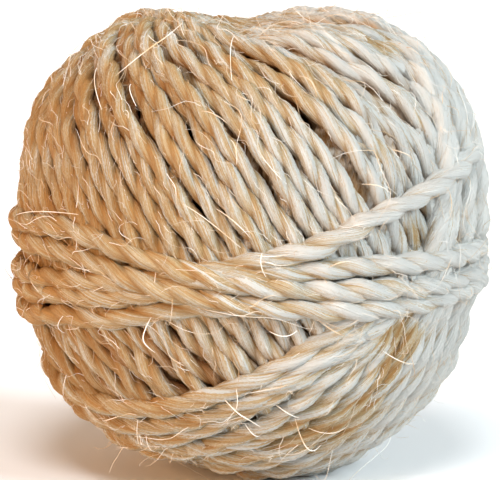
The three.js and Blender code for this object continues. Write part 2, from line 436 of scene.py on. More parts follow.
@dataclass
class Winding:
    """Lays turns on the ball one after another and keeps the height of what is laid.

    Attributes:
        form: the ball's outer form.
        twine: the twine's sizes.
        samples: number of directions at which the height is kept.
        bed: half width of the strip that a turn beds on, in bedding radii.
        sag: how much lower a turn may hang at a point than at the next one.
        spread: how far round a turn the surface is judged.
        crest: how far the mean of the surface lies below its crests.
        outcrop: how much higher or lower any one place round a turn may count.
        fall: how much lower it may count for the slanting and the belt turns.
        dive: how much deeper a turn lies where it doesn't show.
        deepest: how far below the surface a turn may lie.
        inset: how far the crests lie inside the outer form.
        highest: how far a turn of each layer may stand over the surface.
        turns: the turns that have been laid.
    """

    form: BallForm
    twine: Twine
    samples: int = 60000
    bed: float = 0.5
    sag: float = 0.35
    spread: float = 2.4
    crest: float = 0.7
    outcrop: float = 2.5
    fall: float = 6.0
    dive: float = 4.5
    deepest: float = 2.6
    inset: float = 0.3
    highest: dict[Layer, float] = field(default_factory=lambda: {
        Layer.UNDER: 0.1, Layer.TOP: 0.1, Layer.MAIN: 0.3, Layer.SLANTED: 1.6,
        Layer.BELT: 2.6})
    turns: list[Turn] = field(default_factory=list)

    def __post_init__(self) -> None:
        """Spreads the height samples evenly over all directions."""
        index = np.arange(self.samples) + 0.5
        golden = math.pi * (1 + math.sqrt(5))
        z = 1 - 2 * index / self.samples
        level = np.sqrt(1 - z * z)
        self.units = np.stack([level * np.cos(golden * index), level * np.sin(golden * index), z],
                              axis=1).astype(np.float32)
        self.height = np.zeros(self.samples, np.float32)

    def lay(self, turn: Turn) -> None:
        """Lays one turn: it beds on what is there, and what is there then includes it.

        Args:
            turn: the turn to lay.
        """
        stride = 2
        coarse = turn.path[::stride].astype(np.float32)
        count = len(coarse)
        dots = self.units @ coarse.T
        nearest = dots.argmax(axis=1)
        closeness = dots[np.arange(self.samples), nearest]
        distance = MEAN_RADIUS * np.arccos(np.clip(closeness, -1, 1))
        radius = self.twine.bedding_radius
        core = distance < self.bed * radius
        base = np.zeros(count, np.float32)
        np.maximum.at(base, nearest[core], self.height[core])
        base = np.maximum(base, np.maximum(np.roll(base, 1), np.roll(base, -1)) - self.sag)
        taps = np.array([1, 4, 6, 4, 1]) / 16
        axis = blurred(blurred(base, taps), taps) + turn.press * radius
        under = distance < radius
        top = axis[nearest[under]] + np.sqrt(radius**2 - distance[under] ** 2)
        self.height[under] = np.maximum(self.height[under], top)
        place = np.arange(len(turn.path)) / stride
        turn.heights = np.interp(place, np.arange(count + 1), np.append(axis, axis[0]))
        self.turns.append(turn)

    def level(self) -> None:
        """Keeps the height of the finished round body, over which the last turns stand."""
        thin = slice(None, None, 4)
        self.ground_units, self.ground = self.units[thin], self.height[thin].copy()

    def _rise_round(self, turn: Turn) -> np.ndarray:
        """How much higher than a turn the round body lies on average near each of its points.

        Args:
            turn: a turn that has been laid.

        Returns:
            The differences, in which no single place counts for too much.
        """
        spread = self.spread / MEAN_RADIUS
        fall = self.fall if turn.layer in (Layer.SLANTED, Layer.BELT) else self.outcrop
        weight = np.exp((turn.path.astype(np.float32) @ self.ground_units.T - 1) / spread**2)
        top = (turn.heights + self.twine.bedding_radius).astype(np.float32)
        rise = np.clip(self.ground - top[:, None], -fall, self.outcrop)
        return (weight * rise).sum(axis=1) / (weight.sum(axis=1) + 1e-9)

    def axis_points(self, turn: Turn) -> tuple[np.ndarray, np.ndarray]:
        """Where a laid turn's axis runs.

        Args:
            turn: a turn that has been laid.

        Returns:
            Its points and how deep each lies below the surface.
        """
        below = self._rise_round(turn) + self.crest
        above = self.highest[turn.layer]
        below = np.where(below < 0, above * np.tanh(below / above), below)
        below = np.minimum(below + self.dive * turn.hidden_share(), self.deepest)
        reach, blur = 8, 2.6
        below = blurred(below, np.exp(-(np.arange(-reach, reach + 1) / blur) ** 2))
        radii = self.form.radius(turn.path) - below - self.twine.bedding_radius - self.inset
        points = turn.path * radii[:, None] + self.form.middle()
        floor_gap = 0.95 * self.twine.bedding_radius
        points[:, 2] = np.maximum(points[:, 2], floor_gap)
        return points, below


@dataclass(frozen=True)
class Value:
    """An output in a node tree, with which sums are written as with a number.

    Attributes:
        maker: the tree it belongs to.
        socket: the output.
    """

    maker: "NodeMaker"
    socket: bpy.types.NodeSocket

    def __add__(self, other: Given) -> "Value":
        """The sum."""
        return self.math("ADD", other)

    def __sub__(self, other: Given) -> "Value":
        """The difference."""
        return self.math("SUBTRACT", other)

    def __truediv__(self, other: Given) -> "Value":
        """The quotient."""
        return self.math("DIVIDE", other)

    def __mul__(self, other: Given) -> "Value":
        """The product with a number."""
        if not self.is_vector():
            return self.math("MULTIPLY", other)
        return self.maker.node("ShaderNodeVectorMath", {"operation": "SCALE"}, i0=self, Scale=other)

    def is_vector(self) -> bool:
        """Whether it is a vector or a colour."""
        return self.socket.type in ("VECTOR", "RGBA")

    def math(self, operation: str, *others: Given) -> "Value":
        """The result of a math node, or of a vector math node for a vector.

        Args:
            operation: the node's operation.
            *others: what comes after this value among its inputs.

        Returns:
            The result.
        """
        kind = "ShaderNodeVectorMath" if self.is_vector() else "ShaderNodeMath"
        output = "Value" if operation in ("DOT_PRODUCT", "DISTANCE") else 0
        inputs = {f"i{k}": value for k, value in enumerate((self, *others))}
        return self.maker.node(kind, {"operation": operation}, output, **inputs)

    def beside(self, output: int | str) -> "Value":
        """Another output of the same node."""
        return Value(self.maker, self.socket.node.outputs[output])


class NodeMaker:
    """A node tree, with short calls for its nodes and links."""

    def __init__(self, tree: bpy.types.NodeTree) -> None:
        """Keeps the tree."""
        self.tree = tree

    def feed(self, socket: bpy.types.NodeSocket, value: Given) -> None:
        """Links an input to a value of the tree, or sets it.

        Args:
            socket: the input.
            value: what it is given.
        """
        if isinstance(value, Value):
            self.tree.links.new(value.socket, socket)
        else:
            socket.default_value = value

    def node(self, kind: str, settings: dict[str, str] | None = None, output: int | str = 0,
             **inputs: Given) -> Value:
        """Adds a node.

        Args:
            kind: the node's type.
            settings: the node's own properties.
            output: which of its outputs is wanted, by index or name.
            **inputs: what its inputs are given, by index as i0, i1 or by name.

        Returns:
            The output.
        """
        made = self.tree.nodes.new(kind)
        for key, value in (settings or {}).items():
            setattr(made, key, value)
        for key, value in inputs.items():
            number = key[1:]
            self.feed(made.inputs[int(number) if number.isdigit() else key], value)
        return Value(self, made.outputs[output])

    def vector(self, **parts: Given) -> Value:
        """A vector from its parts X, Y and Z."""
        return self.node("ShaderNodeCombineXYZ", **parts)


class TreeMaker(NodeMaker):
    """A geometry node tree with one geometry in, one out and named sizes."""

    def __init__(self, name: str, floats: tuple[str, ...], **others: str) -> None:
        """Starts the tree, which also takes a material.

        Args:
            name: the tree's name.
            floats: names of its sizes that are plain numbers.
            **others: type of each other size by its name.
        """
        super().__init__(bpy.data.node_groups.new(name, "GeometryNodeTree"))
        face = self.tree.interface
        for way in ("INPUT", "OUTPUT"):
            face.new_socket("Geometry", in_out=way, socket_type="NodeSocketGeometry")
        kinds = dict.fromkeys(floats, "Float") | others | {"Material": "Material"}
        self.identifiers = {
            size: face.new_socket(size, in_out="INPUT", socket_type=f"NodeSocket{kind}").identifier
            for size, kind in kinds.items()}
        entry = self.tree.nodes.new("NodeGroupInput")
        self.start = Value(self, entry.outputs["Geometry"])
        self.sizes = {size: Value(self, entry.outputs[size]) for size in kinds}

    def capture(self, geometry: Value, domain: str,
                fields: dict[str, tuple[str, Value]]) -> tuple[Value, dict[str, Value]]:
        """Captures named fields on a geometry.

        Args:
            geometry: the geometry.
            domain: the domain on which they are captured.
            fields: data type and value of each by its name.

        Returns:
            The geometry and the captured values by name.
        """
        made = self.tree.nodes.new("GeometryNodeCaptureAttribute")
        made.domain = domain
        for name, (kind, _) in fields.items():
            made.capture_items.new(kind, name)
        self.feed(made.inputs["Geometry"], geometry)
        for name, (_, value) in fields.items():
            self.feed(made.inputs[name], value)
        kept = {name: Value(self, made.outputs[name]) for name in fields}
        return Value(self, made.outputs["Geometry"]), kept

    def store(self, geometry: Value, name: str, kind: str, value: Value,
              domain: str = "POINT") -> Value:
        """Stores a value on a geometry as a named attribute.

        Args:
            geometry: the geometry.
            name: the attribute's name.
            kind: its data type.
            value: the value.
            domain: the domain on which it is stored.

        Returns:
            The geometry.
        """
        return self.node("GeometryNodeStoreNamedAttribute", {"data_type": kind, "domain": domain},
                         Geometry=geometry, Name=name, Value=value)

    def named(self, name: str, kind: str = "FLOAT") -> Value:
        """A named attribute."""
        return self.node("GeometryNodeInputNamedAttribute", {"data_type": kind}, Name=name)

    def place(self) -> Value:
        """The position of each point."""
        return self.node("GeometryNodeInputPosition")

    def outward(self) -> Value:
        """The direction of each point from the ball's middle."""
        return (self.place() - self.sizes["Ball middle"]).math("NORMALIZE")

    def moved(self, geometry: Value, **where: Value) -> Value:
        """A geometry with its points moved by an Offset or to a Position."""
        return self.node("GeometryNodeSetPosition", Geometry=geometry, **where)

    def tubes(self, paths: Value, sides: int, taper: Value) -> Value:
        """Closed tubes along paths, as thick as the Thickness size says.

        Args:
            paths: the paths.
            sides: number of sides of a tube.
            taper: their thickness along them against that at their thickest.

        Returns:
            The tubes' mesh.
        """
        profile = self.node("GeometryNodeCurvePrimitiveCircle", Resolution=sides,
                            Radius=self.sizes["Thickness"])
        return self.node("GeometryNodeCurveToMesh", i0=paths, i1=profile, i2=taper, i3=True)

    def finish(self, mesh: Value) -> None:
        """Ends the tree: smooth faces, instances made real, then the material.

        Args:
            mesh: the mesh it gives.
        """
        smooth = self.node("GeometryNodeSetShadeSmooth", i0=mesh)
        real = self.node("GeometryNodeRealizeInstances", i0=smooth)
        coated = self.node("GeometryNodeSetMaterial", Geometry=real,
                           Material=self.sizes["Material"])
        self.feed(self.tree.nodes.new("NodeGroupOutput").inputs[0], coated)


class PlyTree(TreeMaker):
    """The node tree that spins two plies along every path that it is given."""

    def __init__(self) -> None:
        """Builds the tree."""
        super().__init__("two_plies", ("Lay", "Ply radius", "Ply spread", "Ruffle"), Sides="Int",
                         **{"Ball middle": "Vector"})
        along = self.node("GeometryNodeSplineParameter", output="Length")
        whole = self.node("GeometryNodeSplineLength", output="Length")
        half_twists = (whole * 2.0 / self.sizes["Lay"]).math("ROUND")
        phase = along / whole * (half_twists * math.pi)
        place, outward = self.place(), self.outward()
        tangent = self.node("GeometryNodeInputTangent")
        spun = self.node("ShaderNodeVectorRotate", {"rotation_type": "AXIS_ANGLE"},
                         Vector=outward, Axis=tangent, Angle=phase)
        curve, kept = self.capture(self.start, "POINT", {
            "along": ("FLOAT", along), "phase": ("FLOAT", phase), "axis": ("VECTOR", place),
            "outward": ("VECTOR", outward), "tangent": ("VECTOR", tangent),
            "depth": ("FLOAT", self.node("GeometryNodeInputCurveTilt"))})
        curve, number = self.capture(curve, "CURVE", {
            "turn": ("INT", self.node("GeometryNodeInputIndex"))})
        curve = self.node("GeometryNodeSetCurveNormal", {"mode": "FREE"}, Curve=curve, Normal=spun)
        curve = self.node("GeometryNodeSetCurveTilt", Curve=curve, Tilt=0.0)
        profile, angle = self._profile()
        mesh = self.node("GeometryNodeCurveToMesh", i0=curve, i1=profile,
                         i2=self.node("GeometryNodeInputRadius"))
        mesh, grain = self._marked(mesh, angle, number["turn"], kept)
        rough = self.node("ShaderNodeTexNoise", Vector=grain, Scale=1.7, Detail=2.0)
        normal = self.node("GeometryNodeInputNormal")
        mesh = self.moved(mesh, Offset=normal * ((rough - 0.5) * self.sizes["Ruffle"]))
        self.finish(self._flattened(mesh))

    def _profile(self) -> tuple[Value, Value]:
        """Makes the outline of two plies side by side.

        Returns:
            The outline and the angle of each of its points.
        """
        towards_creases = 0.16
        sides, spread = self.sizes["Sides"], self.sizes["Ply spread"]
        even = self.node("GeometryNodeInputIndex") / sides * (2 * math.pi)
        angle = even + (even * 2.0).math("SINE") * towards_creases
        circle = self.node("GeometryNodeCurvePrimitiveCircle", Resolution=sides, Radius=1.0)
        curve, kept = self.capture(circle, "POINT", {"angle": ("FLOAT", angle)})
        cosine, sine = (kept["angle"].math(name) for name in ("COSINE", "SINE"))
        inner = self.sizes["Ply radius"].math("POWER", 2.0) - (spread * sine).math("POWER", 2.0)
        reach = spread * cosine.math("ABSOLUTE") + inner.math("SQRT")
        outline = self.vector(X=reach * cosine, Y=reach * sine)
        return self.moved(curve, Position=outline), kept["angle"]

    def _marked(self, mesh: Value, angle: Value, turn: Value,
                kept: dict[str, Value]) -> tuple[Value, Value]:
        """Stores what the material and the loose fibres read from the twine.

        Args:
            mesh: the twine's mesh.
            angle: angle of each point round the outline.
            turn: number of the turn.
            kept: what was captured along the paths.

        Returns:
            The mesh and the coordinates along its fibres.
        """
        fibre_twist, grain_length, turn_shift = 0.55, 0.01, 0.37
        spin = angle + kept["phase"] * fibre_twist
        grain = self.vector(X=spin.math("COSINE"), Y=spin.math("SINE"),
                            Z=kept["along"] / grain_length + turn * turn_shift)
        raised = (self.place() - kept["axis"]).math("DOT_PRODUCT", kept["outward"])
        mesh = self.store(mesh, "grain", "FLOAT_VECTOR", grain)
        # sunk is how deep a point lies below the surface; the material paints shade in the gaps
        # from it.
        mesh = self.store(mesh, "sunk", "FLOAT", kept["depth"] - raised / MM)
        mesh = self.store(mesh, "run", "FLOAT_VECTOR", kept["tangent"])
        # crease is 1 on a ply's crest and 0 in the crease; the material paints light and shade from
        # it.
        mesh = self.store(mesh, "crease", "FLOAT", angle.math("COSINE").math("ABSOLUTE"))
        return mesh, grain

    def _flattened(self, mesh: Value) -> Value:
        """Presses what would reach below the surface it stands on flat.

        Args:
            mesh: the twine's mesh.

        Returns:
            The mesh.
        """
        x = self.node("ShaderNodeSeparateXYZ", i0=self.place())
        height = x.beside(2).math("MAXIMUM", 0.0)
        return self.moved(mesh, Position=self.vector(X=x, Y=x.beside(1), Z=height))


class HairTree(TreeMaker):
    """The node tree that grows loose fibres from the twine that lies on the surface."""

    def __init__(self) -> None:
        """Builds the tree."""
        super().__init__("loose_fibres", ("Density", "Shortest", "Longest", "Thickness", "Lift",
                                          "Stray", "Curl"),
                         Sections="Int", Seed="Int", **{"Ball middle": "Vector"})
        short_bias, tip_taper = 2.2, -0.7
        size = self.sizes
        roots = self.node("GeometryNodeDistributePointsOnFaces", None, "Points", Mesh=self.start,
                          Selection=self._outside(), i4=size["Density"], Seed=size["Seed"])
        way = self._chance((-1.0, -1.0, -1.0), (1.0, 1.0, 1.0), 1)
        along = self.named("run", "FLOAT_VECTOR") * self._chance(-1.0, 1.0, 2).math("SIGN")
        ahead = along + roots.beside("Normal") * size["Lift"] + way * size["Stray"]
        turned = self.node("FunctionNodeAlignRotationToVector", {"axis": "Z"}, Vector=ahead)
        share = self._chance(0.0, 1.0, 3).math("POWER", short_bias)
        span = size["Shortest"] + share * (size["Longest"] - size["Shortest"])
        line = self.node("GeometryNodeResampleCurve", Count=size["Sections"],
                         Curve=self.node("GeometryNodeCurvePrimitiveLine", i1=(0.0, 0.0, 1.0)))
        hairs = self.node("GeometryNodeInstanceOnPoints", Points=roots, Instance=line,
                          Rotation=turned, Scale=span)
        bend = self._chance((-1.0, -1.0, -1.0), (1.0, 1.0, 1.0), 4) * span
        hairs = self.store(hairs, "bend", "FLOAT_VECTOR", bend, "INSTANCE")
        hairs = self.store(hairs, "span", "FLOAT", span, "INSTANCE")
        hairs = self.store(hairs, "start", "FLOAT", self._chance(0.0, 40.0, 5), "INSTANCE")
        hairs = self._bent(self.node("GeometryNodeRealizeInstances", i0=hairs))
        along = self.node("GeometryNodeSplineParameter", output="Factor")
        self.finish(self.tubes(hairs, 3, along.math("MULTIPLY_ADD", tip_taper, 1.0)))

    def _chance(self, low: float | Colour, high: float | Colour, offset: int) -> Value:
        """A random value for each point.

        Args:
            low: its lower bound.
            high: its upper bound.
            offset: what is added to the tree's seed.

        Returns:
            The value.
        """
        kind, output = ("FLOAT_VECTOR", 0) if isinstance(low, tuple) else ("FLOAT", 1)
        bounds = {f"i{2 * output}": low, f"i{2 * output + 1}": high}
        return self.node("FunctionNodeRandomValue", {"data_type": kind}, output,
                         Seed=self.sizes["Seed"] + float(offset), **bounds)

    def _outside(self) -> Value:
        """Finds where a face lies on the surface and looks outwards.

        Returns:
            1 there and 0 elsewhere.
        """
        least_facing, most_sunk, least_height = 0.35, 0.6, 6 * MM
        normal = self.node("GeometryNodeInputNormal")
        facing = self.outward().math("DOT_PRODUCT", normal).math("GREATER_THAN", least_facing)
        shallow = self.named("sunk").math("LESS_THAN", most_sunk)
        height = self.node("ShaderNodeSeparateXYZ", i0=self.place()).beside(2)
        return facing * shallow * height.math("GREATER_THAN", least_height)

    def _bent(self, hairs: Value) -> Value:
        """Bends and curls each hair more towards its tip, round the ball and not off it.

        Args:
            hairs: the straight hairs.

        Returns:
            The bent hairs.
        """
        flatten, bow, wave, follow = -0.85, 0.4, 1.5, -0.4 / (43 * MM)
        factor = self.node("GeometryNodeSplineParameter", output="Factor")
        bend, outward = self.named("bend", "FLOAT_VECTOR"), self.outward()
        flat = bend + outward * (bend.math("DOT_PRODUCT", outward) * flatten)
        step = self.vector(X=self.named("start"), Y=factor * wave)
        sway = self.node("ShaderNodeTexNoise", None, "Color", Vector=step, Scale=1.0,
                         Detail=0.0) - (0.5, 0.5, 0.5)
        reach = self.named("span") * factor
        drift = flat * (factor.math("POWER", 2.0) * bow) + sway * (reach * self.sizes["Curl"])
        return self.moved(hairs, Offset=drift + outward * (reach.math("POWER", 2.0) * follow))


class StrayTree(TreeMaker):
    """The node tree that gives the long stray fibres their thickness."""

    def __init__(self) -> None:
        """Builds the tree."""
        super().__init__("stray_fibres", ("Thickness",))
        along = self.node("GeometryNodeSplineParameter", output="Factor")
        from_middle = along.math("MULTIPLY_ADD", 2.0, -1.0).math("ABSOLUTE")
        taper = from_middle.math("POWER", 3.0).math("MULTIPLY_ADD", -0.6, 1.0)
        self.finish(self.tubes(self.start, 5, taper))


def linked(name: str, data: bpy.types.ID) -> bpy.types.Object:
    """An object of a name made of a mesh, curve, light or camera, linked to the scene."""
    thing = bpy.data.objects.new(name, data)
    bpy.context.scene.collection.objects.link(thing)
    return thing


def add_path(curve: bpy.types.Curve, kind: str, points: np.ndarray) -> bpy.types.Spline:
    """Adds a path to a curve.

    Args:
        curve: the curve.
        kind: the type of spline.
        points: its points.

    Returns:
        The path.
    """
    path = curve.splines.new(kind)
    path.points.add(len(points) - 1)
    path.points.foreach_set("co", np.column_stack([points * MM, np.ones(len(points))]).ravel())
    return path


def made_piece(name: str, data: bpy.types.ID, tree: TreeMaker,
               sizes: dict[str, Given]) -> bpy.types.Object:
    """Runs a node tree and keeps the result as a plain mesh piece, which it dresses.

    Args:
        name: the piece's name.
        data: the curve or mesh that the tree reads.
        tree: the tree.
        sizes: the tree's named sizes.

    Returns:
        The piece, at the origin, with no modifier.
    """
    source = linked(f"{name}_source", data)
    modifier = source.modifiers.new("tree", "NODES")
    modifier.node_group = tree.tree
    for key, value in sizes.items():
        modifier[tree.identifiers[key]] = value
    depsgraph = bpy.context.evaluated_depsgraph_get()
    mesh = bpy.data.meshes.new_from_object(source.evaluated_get(depsgraph), depsgraph=depsgraph)
    source.modifiers.clear()
    bpy.data.objects.remove(source, do_unlink=True)
    mesh.name = name
    piece = linked(name, mesh)
    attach(piece, BODY)
    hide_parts(NODE)
    return piece


class ShaderMaker(NodeMaker):
    """A material's node tree, with short calls for its nodes and links."""

    def __init__(self, name: str) -> None:
        """Starts a material.

        Args:
            name: its name.
        """
        self.material = bpy.data.materials.new(name)
        self.material.use_nodes = True
        super().__init__(self.material.node_tree)

    def surface(self, **values: Given) -> bpy.types.Material:
        """Sets the surface's inputs.

        Args:
            **values: what each is given, with _ for the spaces in its name.

        Returns:
            The material.
        """
        shader = self.tree.nodes["Principled BSDF"]
        for key, value in values.items():
            self.feed(shader.inputs[key.replace("_", " ")], value)
        return self.material

    def attribute(self, name: str, output: str = "Fac") -> Value:
        """A named attribute of the mesh."""
        return self.node("ShaderNodeAttribute", {"attribute_name": name}, output)

    def place(self) -> Value:
        """The place on the object, in metres."""
        return self.node("ShaderNodeTexCoord", output="Object")

    def eased(self, value: Value, low: float, high: float, first: float, last: float) -> Value:
        """A value that eases from one bound to another.

        Args:
            value: what it depends on.
            low: where it starts.
            high: where it ends.
            first: its bound up to the start.
            last: its bound from the end on.

        Returns:
            The value.
        """
        return self.node("ShaderNodeMapRange", {"interpolation_type": "SMOOTHSTEP"}, i0=value,
                         i1=low, i2=high, i3=first, i4=last)

    def ramp(self, value: Value, stops: Iterable[tuple[float, Colour]]) -> Value:
        """A colour ramp.

        Args:
            value: where it is read.
            stops: place and colour of each stop.

        Returns:
            The colour.
        """
        colour = self.node("ShaderNodeValToRGB", Fac=value)
        elements = colour.socket.node.color_ramp.elements
        stops = list(stops)
        while len(elements) < len(stops):
            elements.new(0.5)
        for element, (place, shade) in zip(elements, stops):
            element.position = place
            element.color = (*shade, 1.0)
        return colour

    def mix(self, share: Value, first: Value, second: Colour, how: str = "MIX") -> Value:
        """Two colours mixed.

        Args:
            share: the share of the second.
            first: the first colour.
            second: the second colour.
            how: the way of mixing.

        Returns:
            The colour.
        """
        return self.node("ShaderNodeMix", {"data_type": "RGBA", "blend_type": how}, 2,
                         i0=share, i6=first, i7=(*second, 1.0))


@dataclass(frozen=True)
class SisalFinish:
    """The look of the twine: dry pale fibres with golden streaks, with painted shade browner in its
    gaps and creases, and painted light on its crests and to the right.

    Attributes:
        name: the material's name.
        cream: colour of its palest fibres.
        straw: colour of most fibres.
        golden: colour of its golden streaks.
        shade: colour of the painted shade in the crease between the plies.
        painted_gap_shade: painted shade, what the fibres' colour is multiplied by deep in the gaps.
        hairs: fineness of its single fibres, twice across the twine and once along it.
        strips: the same for its bundles of fibres.
        patches: the same for its paler and darker stretches.
        painted_light_right: painted light, how much paler it gets to the right, for each metre, and
            how much more golden to the left.
        stops: where golden, straw and cream lie on the scale of paleness.
        crease: how wide the painted shade along the crease between the plies is, and how dark.
        gaps: how far below the surface the painted shade in the gaps starts and is darkest.
        relief: depth of the relief of its fibres, in metres.
        golden_spots: azimuth and latitude of each golden spot, its radius and strength.
    """

    name: str = "sisal_fibre"
    cream: Colour = (0.84, 0.85, 0.81)
    straw: Colour = (0.66, 0.51, 0.29)
    golden: Colour = (0.55, 0.29, 0.09)
    shade: Colour = (0.34, 0.16, 0.05)
    painted_gap_shade: Colour = (0.60, 0.33, 0.13)
    hairs: tuple[float, float, float] = (13.0, 13.0, 0.9)
    strips: tuple[float, float, float] = (3.0, 3.0, 0.5)
    patches: tuple[float, float, float] = (0.7, 0.7, 0.35)
    painted_light_right: float = 4.2
    stops: tuple[float, float, float] = (0.33, 0.46, 0.59)
    crease: tuple[float, float] = (0.2, 0.2)
    gaps: tuple[float, float] = (-0.8, 2.0)
    relief: float = 0.0012
    golden_spots: tuple[tuple[float, float, float, float], ...] = (
        (-50.0, -17.0, 7.0, 0.20), (-51.0, -25.0, 7.0, 0.17), (-55.0, -33.0, 9.0, 0.15),
        (-61.0, -42.0, 11.0, 0.13), (-75.0, -46.0, 11.0, 0.11), (-46.0, 6.5, 5.0, 0.20),
        (-36.0, 52.0, 7.0, 0.16), (-76.0, 44.0, 12.0, 0.10), (-91.0, 50.0, 9.0, 0.11),
    )

    def material(self, form: BallForm) -> bpy.types.Material:
        """Builds the material.

        Args:
            form: the form of the ball it is for.

        Returns:
            The material.
        """
        maker = ShaderMaker(self.name)
        grain = maker.attribute("grain", "Vector")
        crease, sunk = maker.attribute("crease"), maker.attribute("sunk")
        hairs, strips, patches = (
            maker.node("ShaderNodeTexNoise", Scale=1.0, Detail=detail, Roughness=0.6,
                       Vector=maker.node("ShaderNodeMapping", Vector=grain, Scale=scale))
            for scale, detail in ((self.hairs, 5.0), (self.strips, 2.0), (self.patches, 2.0)))
        # Painted light: the colour gets paler to the right and more golden to the left, as the
        # light falls on each side.
        across = maker.node("ShaderNodeSeparateXYZ", i0=maker.place())
        paleness = (hairs * 0.6 + strips * 0.4 + patches.math("MULTIPLY_ADD", -0.5, 0.25)
                    + across * self.painted_light_right)
        for azimuth, latitude, radius, strength in self.golden_spots:
            way = unit_direction(azimuth, latitude)
            spot = (way * form.radius(way[None, :])[0] + form.middle()) * MM
            apart = maker.place().math("DISTANCE", tuple(spot))
            paleness += maker.eased(apart, 0.0, radius * MM, -strength, 0.0)
        # Painted light and shade: paler on each ply's crest, more golden in the crease between the
        # plies.
        paleness += crease.math("MULTIPLY_ADD", 0.10, -0.055)
        colour = maker.ramp(paleness, zip(self.stops, (self.golden, self.straw, self.cream)))
        # Painted shade: the crease between the plies is mixed towards the shade colour.
        width, darkness = self.crease
        colour = maker.mix(maker.eased(crease, 0.0, width, darkness, 0.0), colour, self.shade)
        # Painted shade: twine that lies deep in the gaps between turns is darkened and browned.
        colour = maker.mix(maker.eased(sunk, *self.gaps, 0.0, 1.0), colour, self.painted_gap_shade,
                           "MULTIPLY")
        bump = maker.node("ShaderNodeBump", Height=hairs + strips * 0.6, Strength=1.0,
                          Distance=self.relief)
        return maker.surface(Base_Color=colour, Normal=bump, Roughness=0.5, Specular_IOR_Level=0.4)


@dataclass(frozen=True)
class HairFinish:
    """The look of a loose fibre: pale, dry and a little silky.

    Attributes:
        name: the material's name.
        pale: colour of most of its length.
        golden: colour of its darker stretches.
    """

    name: str = "loose_fibre"
    pale: Colour = (0.95, 0.93, 0.88)
    golden: Colour = (0.70, 0.50, 0.28)

    def material(self) -> bpy.types.Material:
        """Builds the material.

        Returns:
            The material.
        """
        maker = ShaderMaker(self.name)
        patches = maker.node("ShaderNodeTexNoise", Vector=maker.place(), Scale=160.0, Detail=2.0,
                             Roughness=0.55)
        colour = maker.ramp(patches, ((0.42, self.pale), (0.66, self.golden)))
        return maker.surface(Base_Color=colour, Roughness=0.5)


@dataclass(frozen=True)
class HairSize:
    """Sizes of one kind of loose fibre.

    Attributes:
        per_area: number for each square metre of twine.
        shortest: least length.
        longest: greatest length.
        radius: radius at its root.
        lift: how much it stands up from the twine.
        stray: how far its direction strays from the twine's.
        curl: how much it sways.
        sections: number of points along it.
        first_seed: what sets its seeds apart from other kinds'.
    """

    per_area: float
    shortest: float
    longest: float
    radius: float
    lift: float
    stray: float
    curl: float
    sections: int
    first_seed: int


class Hairs(Enum):
    """The kinds of loose fibre."""

    FUZZ = HairSize(90000.0, 1.0, 6.0, 0.055, 0.35, 0.5, 1.2, 6, 0)
    FIBRES = HairSize(16000.0, 4.0, 16.0, 0.075, 0.12, 0.35, 1.2, 12, 20)


